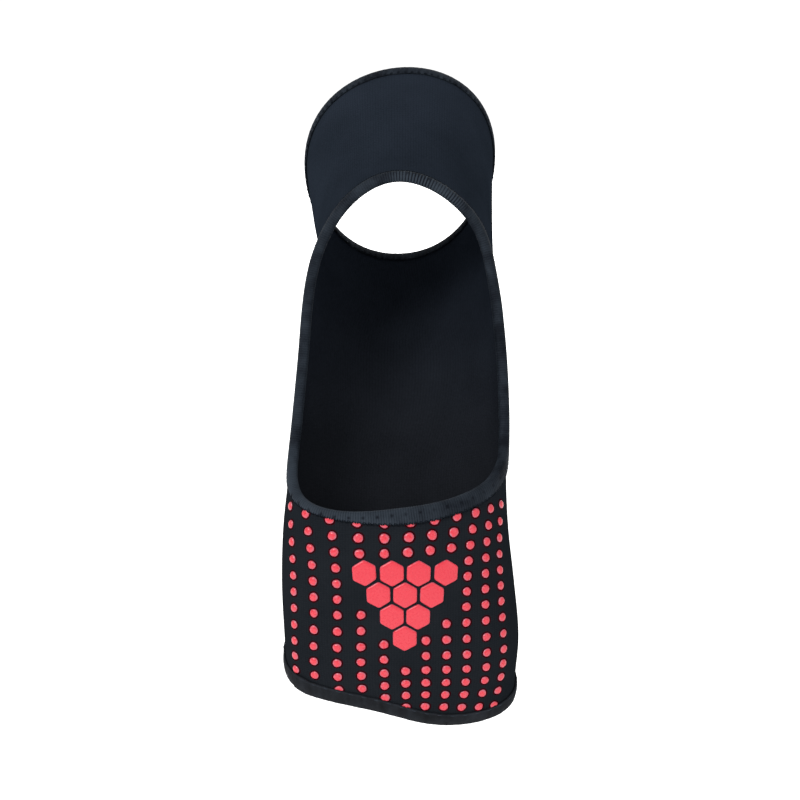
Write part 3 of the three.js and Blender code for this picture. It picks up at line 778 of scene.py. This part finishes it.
def dot_places():
    """Places and radii of the dots, in columns and rows bent as the stretched cloth bends them.

    With e the column's share of the side angle and p the row's share past the middle row, a dot lies at
    2.912 + 0.122 e - 0.061 e² - 0.081 e³ sections, less p (1.478 - 0.046 e + 0.158 e²) + p² (0.04 + 0.027 e²)
    + p³ (0.05 + 0.061 e²), and swings round by p (-1 + 5.1 e - 3.8 e³) + p² (1.6 + 2.2 e - 1.9 e²) - 1.9 p³ e
    degrees. The dots in the middle grow toward the heel.
    """
    columns, skip_from, skip_to = (column[:, None] for column in DOT_COLUMNS.T)
    rows = np.arange(DOT_ROWS)[None, :]
    e, p = columns / DOT_SIDE_ANGLE, (rows - DOT_MIDDLE_ROW) / DOT_MIDDLE_ROW
    spread = 0.04 + 0.027 * e ** 2 + p * (0.05 + 0.061 * e ** 2)
    fall = p * (1.478 - e * (0.046 - 0.158 * e) + p * spread)
    swing = p * (-1 + e * (5.1 - 3.8 * e ** 2) + p * (1.6 + e * (2.2 - 1.9 * e) - 1.9 * p * e))
    at, angle = 2.912 + e * (0.122 - e * (0.061 + 0.081 * e)) - fall, np.radians(columns + swing)
    radius = DOT_RADIUS + (1 - e ** 2) * (0.09 + 0.24 * ((1 - p) / 2) ** 2)
    points = face(at, angle)
    skipped = (rows >= skip_from) & (rows <= skip_to)
    kept = ~skipped & (at > toe_edge(angle)) & (at < DOT_END)
    for line in (heel_line, toe_line):
        kept &= past_tape(points, line) > -DOT_UNDER
    return at[kept], angle[kept], radius[kept]


def honeycomb_places():
    """Places of the pads, walked from the middle of the honeycomb, in rows a pitch times cos 30° apart."""
    lengthwise, _, out = directions(PAD_AT, PAD_ANGLE)
    up = unit(lengthwise)
    side = np.cross(up, out)
    steps = np.concatenate([PAD_PITCH * (side * (np.arange(pads) - (pads - 1) / 2)[:, None]
                                         + up * np.cos(np.pi / 6) * rise) for pads, rise in PAD_ROWS])
    return walk(np.full(len(steps), PAD_AT), np.full(len(steps), PAD_ANGLE), steps, parts=3)


def make_pads(name, at, angle, radii, heights, thin, outline, skirt=0):
    """Raised pads: rings of an outline walked over the face from each middle, each lifted by its height.

    Where a pad runs under an edge tape it is pressed flat. skirt is how many of its outer bands are dark with
    painted shade.
    """
    lengthwise, _, out = directions(at, angle)
    up = unit(lengthwise)
    side = unit(np.cross(up, out))
    turn = np.linspace(0, TURN, outline.shape[-1], endpoint=False)
    way = side[:, None, None] * np.cos(turn)[:, None] + up[:, None, None] * np.sin(turn)[:, None]
    step = way * (radii[:, None] * outline)[..., None]
    shape = step.shape[:-1]
    spot_at, spot_angle = walk(np.broadcast_to(at[:, None, None], shape),
                               np.broadcast_to(angle[:, None, None], shape), step)
    ground = face(spot_at, spot_angle)
    covered = (past_tape(ground, heel_line) < 0) | (past_tape(ground, toe_line) < 0)
    covered |= spot_at < toe_edge(spot_angle)
    height = np.broadcast_to(heights[:, None], shape)
    points = layer(spot_at, spot_angle, np.where(covered, np.minimum(height, PRESSED_HEIGHT), height))
    index = np.arange(points.size // 3).reshape(shape)
    ahead = np.roll(index, -1, 2)
    walls = np.stack([index[:, :-1], index[:, 1:], ahead[:, 1:], ahead[:, :-1]], -1).reshape(-1, 4)
    tone = np.broadcast_to(thin[:, None], shape)
    # Painted shade: the outer bands take the dark material.
    bands = np.arange(shape[1] - 1) >= shape[1] - 1 - skirt
    shade_faces = np.broadcast_to(bands[:, None], (shape[0], shape[1] - 1, shape[2])).ravel()
    shade_faces = np.concatenate([shade_faces, np.zeros(2 * shape[0], bool)]).astype(int)
    return piece(name, points, [walls, index[:, 0, :], index[:, -1, ::-1]], [silicone, shade_film],
                 attribute=("thin", tone), face_material=shade_faces)


def make_dots():
    """Low domes with round shoulders and a thin dark skirt, each made a little out of round by sine waves.

    At a share s of the radius a dome is the dot's height times (1 - s^3.2)^0.55 high. Its thin dark skirt is
    painted shade.
    """
    at, angle, radius = dot_places()
    # The last rings make a flat dark skirt of painted shade round the dome.
    share = np.array([0.35, 0.65, 0.85, 0.96, 1.0, 1.36, 1.36])
    heights = np.append(DOT_HEIGHT * (1 - share[:4] ** 3.2) ** 0.55, [0.12, 0.04, -FOOT_DEPTH])
    # thin sets where the silicone's painted highlight and painted shade fall.
    thin = np.array([0.2, 0.25, 0.4, 0.55, 0.95, 1, 1])
    random = np.random.default_rng(DOT_SEED)
    turn = np.linspace(0, TURN, DOT_CORNERS, endpoint=False)
    phase = random.uniform(0, TURN, (3, len(at), 1, 1))
    bumps = np.sin(2 * turn + phase[0]) + np.sin(3 * turn + phase[1]) + 0.7 * np.sin(5 * turn + phase[2])
    size = radius[:, None, None] * random.uniform(0.97, 1.03, (len(at), 1, 1))
    outline = size * (1 + 0.03 * bumps)
    return make_pads("grip_dots", at, angle, share, heights, thin, outline, skirt=2)


def make_honeycomb():
    """Six-sided pads with flat tops, round corners and a soft edge.

    The outline is cos 30° over the nth root of the summed nth powers of |cos| of the bearing from each pair
    of sides, with n the power that rounds the corners. At a share s of the outline a pad is its full height
    times the square root of 1 - s^14 high.
    """
    at, angle = honeycomb_places()
    share = np.array([0.15, 0.35, 0.55, 0.72, 0.85, 0.93, 0.975, 1.0, 1.0])
    heights = np.append(PAD_HEIGHT * (1 - share[:8] ** 14) ** 0.5, -FOOT_DEPTH)
    # Near the foot, thin brings in the silicone's painted shade.
    thin = np.array([0, 0, 0, 0, 0.05, 0.15, 0.4, 0.6, 1])
    bearing = np.linspace(0, TURN, PAD_CORNERS, endpoint=False)
    flats = np.abs(np.cos(bearing[:, None] - np.arange(3) * np.pi / 3))
    outline = np.cos(np.pi / 6) * (flats ** PAD_POWER).sum(1) ** (-1 / PAD_POWER)
    return make_pads("honeycomb_pads", at, angle, share * PAD_RADIUS, heights, thin,
                     np.broadcast_to(outline, (len(at), 1, PAD_CORNERS)))


grip_dots = make_dots()
honeycomb = make_honeycomb()


# The stitches

def needle_points(line, run, past, height):
    """Points along an edge, at a distance past the tape's free edge and a height, and the way out there."""
    lengths = np.append(line.run, line.length)
    run = run % line.length
    at, tape = (np.interp(run, lengths, closing(column)) for column in (line.at, line.tape))
    angle = np.interp(run, lengths, closing(line.angle, winds=True))
    into = unit(np.stack([np.interp(run, lengths, closing(column)) for column in line.into.T], -1))
    at, angle = walk(at, angle, into * (tape + past)[:, None])
    return layer(at, angle, np.full(len(run), height)), directions(at, angle)[2]


def make_stitches(name, start, end, up, radius, arch, material):
    """Stitches of thread: each is a round tube from one needle hole to the next, bent to half a sine wave."""
    share = np.linspace(0, 1, len(STITCH_TAPER))
    bow = np.sin(np.pi * share)
    rise = arch * bow - STITCH_SINK * (1 - bow)
    middle = (start[:, None] * (1 - share)[:, None] + end[:, None] * share[:, None]
              + up[:, None] * rise[:, None])
    ahead = unit(np.gradient(middle, axis=1))
    side = unit(np.cross(ahead, up[:, None]))
    over = np.cross(side, ahead)
    turn = np.linspace(0, TURN, THREAD_CORNERS, endpoint=False)
    thick = radius * STITCH_TAPER[:, None, None]
    points = middle[:, :, None] + thick * (side[:, :, None] * np.cos(turn)[:, None]
                                           + over[:, :, None] * np.sin(turn)[:, None])
    index = np.arange(points.size // 3).reshape(points.shape[:3])
    beside = np.roll(index, -1, 2)
    walls = np.stack([index[:, :-1], beside[:, :-1], beside[:, 1:], index[:, 1:]], -1).reshape(-1, 4)
    return piece(name, points, [walls, index[:, 0, ::-1], index[:, -1]], [material])


def stitch_runs(line, pitch):
    """Even lengths along an edge about a pitch apart, and the pitch that fits."""
    count = int(np.round(line.length / pitch))
    return np.arange(count) * line.length / count, line.length / count


def straight_row(name, line, pitch, length, past, height, radius, material):
    """Row of single stitches along an edge."""
    run, _ = stitch_runs(line, pitch)
    start, up = needle_points(line, run - length / 2, past, height)
    end, _ = needle_points(line, run + length / 2, past, height)
    return make_stitches(name, start, end, up, radius, arch=0.2, material=material)


def zigzag_row(name, line, pitch, inner, outer, radius, material):
    """Zigzag over a tape's free edge: legs run from the tape down to the sleeve and back.

    inner and outer are how far past the free edge, and how high, the needle holes on tape and sleeve lie.
    """
    run, pitch = stitch_runs(line, pitch)
    tape, tape_up = needle_points(line, run, *inner)
    cloth, cloth_up = needle_points(line, run + pitch / 2, *outer)
    up = unit(tape_up + cloth_up)
    start = np.concatenate([tape, cloth])
    end = np.concatenate([cloth, np.roll(tape, -1, 0)])
    return make_stitches(name, start, end, np.concatenate([up, up]), radius, arch=0.5, material=material)


heel_stitches = zigzag_row("heel_stitches", heel_line, pitch=2.2, inner=(-0.9, 1.0), outer=(1.0, 0.05),
                           radius=0.25, material=dark_thread)
toe_stitches = straight_row("toe_stitches", toe_line, pitch=5.6, length=2.8, past=-0.5, height=TAPE_TOP,
                            radius=0.2, material=grey_thread)
top_stitches = straight_row("top_stitches", rim_line, pitch=TOP_STITCH_PITCH, length=2.2, past=-0.3,
                            height=TAPE_TOP - 0.1, radius=0.26, material=dark_thread)


# Camera, floor and light

def aimed(made, place, target):
    """Puts a camera or light at a place, looking at a target."""
    made.location = Vector(place)
    made.rotation_euler = (Vector(target) - Vector(place)).to_track_quat("-Z", "Y").to_euler()
    bpy.context.scene.collection.objects.link(made)


camera = bpy.data.objects.new("camera", bpy.data.cameras.new("camera"))
camera.data.lens = LENS
camera.data.sensor_width = SENSOR
camera.data.clip_end = 100
aimed(camera, TARGET + DISTANCE * np.array([0, -np.cos(ELEVATION), np.sin(ELEVATION)]), TARGET)
bpy.context.scene.camera = camera

floor_mesh = bpy.data.meshes.new("floor")
floor_corners = [(x * FLOOR_HALF, y * FLOOR_HALF, FLOOR_Z) for x, y in ((-1, -1), (1, -1), (1, 1), (-1, 1))]
floor_mesh.from_pydata(floor_corners, [], [(0, 1, 2, 3)])
floor = bpy.data.objects.new("floor", floor_mesh)
bpy.context.scene.collection.objects.link(floor)
paper, paper_tree, paper_shader = new_material("white_paper")
set_shader(paper_tree, paper_shader, {}, Base_Color=colour("#f7f7f7"), Roughness=0.9, Specular_IOR_Level=0.1,
           Emission_Color=colour("#ffffff"), Emission_Strength=0.3)
floor_mesh.materials.append(paper)

for name, place, side, watts in SOFTBOXES:
    lamp = bpy.data.lights.new(name, "AREA")
    lamp.energy = watts
    lamp.size = side
    aimed(bpy.data.objects.new(name, lamp), place, LIGHT_TARGET)

world = bpy.data.worlds.new("studio")
world.use_nodes = True
sky = world.node_tree
ray = add(sky, "ShaderNodeLightPath").outputs["Is Camera Ray"]
glow = add(sky, "ShaderNodeMapRange", {"Value": ray, "To Min": SKY_LIGHT, "To Max": SKY_SHOWN})
sky.nodes["Background"].inputs["Color"].default_value = (1, 1, 1, 1)
sky.links.new(glow.outputs[0], sky.nodes["Background"].inputs["Strength"])
bpy.context.scene.world = world
bpy.context.scene.view_settings.view_transform = "Standard"
